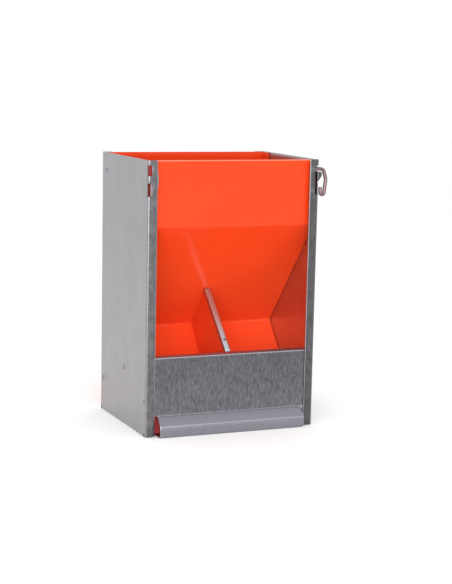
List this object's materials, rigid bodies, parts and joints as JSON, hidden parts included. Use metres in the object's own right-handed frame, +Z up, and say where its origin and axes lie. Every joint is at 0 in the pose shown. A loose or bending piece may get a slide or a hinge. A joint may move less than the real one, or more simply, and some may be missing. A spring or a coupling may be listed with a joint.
{
  "type": "gravity feeder",
  "caption": "Livestock gravity feeder: an orange plastic hopper and tray between galvanised side panels, with side-by-side mouths, a divider, a steel front plate and wire hanging hooks.",
  "frame": {"origin": "on the floor, in the middle of the plane of the front flanges", "axes": "+X to the right as seen from the mouths' side, +Y from the mouths to the back, +Z up"},
  "size_m": [0.2174, 0.1632, 0.305],
  "materials": {
    "side_steel": "hot-dip galvanised sheet, faint mottling",
    "front_steel": "galvanised sheet with fine upright streaks",
    "channel_steel": "galvanised, satin",
    "rivet_steel": "zinc-plated, satin",
    "hook_wire": "zinc-plated wire",
    "orange_plastic": "semi-gloss moulded sheet"
  },
  "bodies": {
    "body": {"left_side_panel": "side_steel", "right_side_panel": "side_steel", "back_sheet": "orange_plastic", "hopper_front_sheet": "orange_plastic", "feed_tray": "orange_plastic", "divider_plate": "orange_plastic", "divider_channel": "channel_steel", "divider_pin": "rivet_steel", "front_plate": "front_steel", "left_back_rivet": "rivet_steel", "right_back_rivet": "rivet_steel", "left_tray_front_rivet": "rivet_steel", "right_tray_front_rivet": "rivet_steel", "left_tray_rear_rivet": "rivet_steel", "right_tray_rear_rivet": "rivet_steel", "left_plate_rivet": "rivet_steel", "right_plate_rivet": "rivet_steel"},
    "left_hook": {"left_hook": "hook_wire"},
    "right_hook": {"right_hook": "hook_wire"}
  },
  "joints": [
    {"name": "left_hook_swing", "type": "hinge", "parent": "body", "child": "left_hook", "pos_m": [-0.0971, 0.0034, 0.277], "axis": [0, 0, 1], "range_deg": [-38, 0]},
    {"name": "right_hook_swing", "type": "hinge", "parent": "body", "child": "right_hook", "pos_m": [0.0971, 0.0034, 0.277], "axis": [0, 0, 1], "range_deg": [-18, 0]}
  ]
}
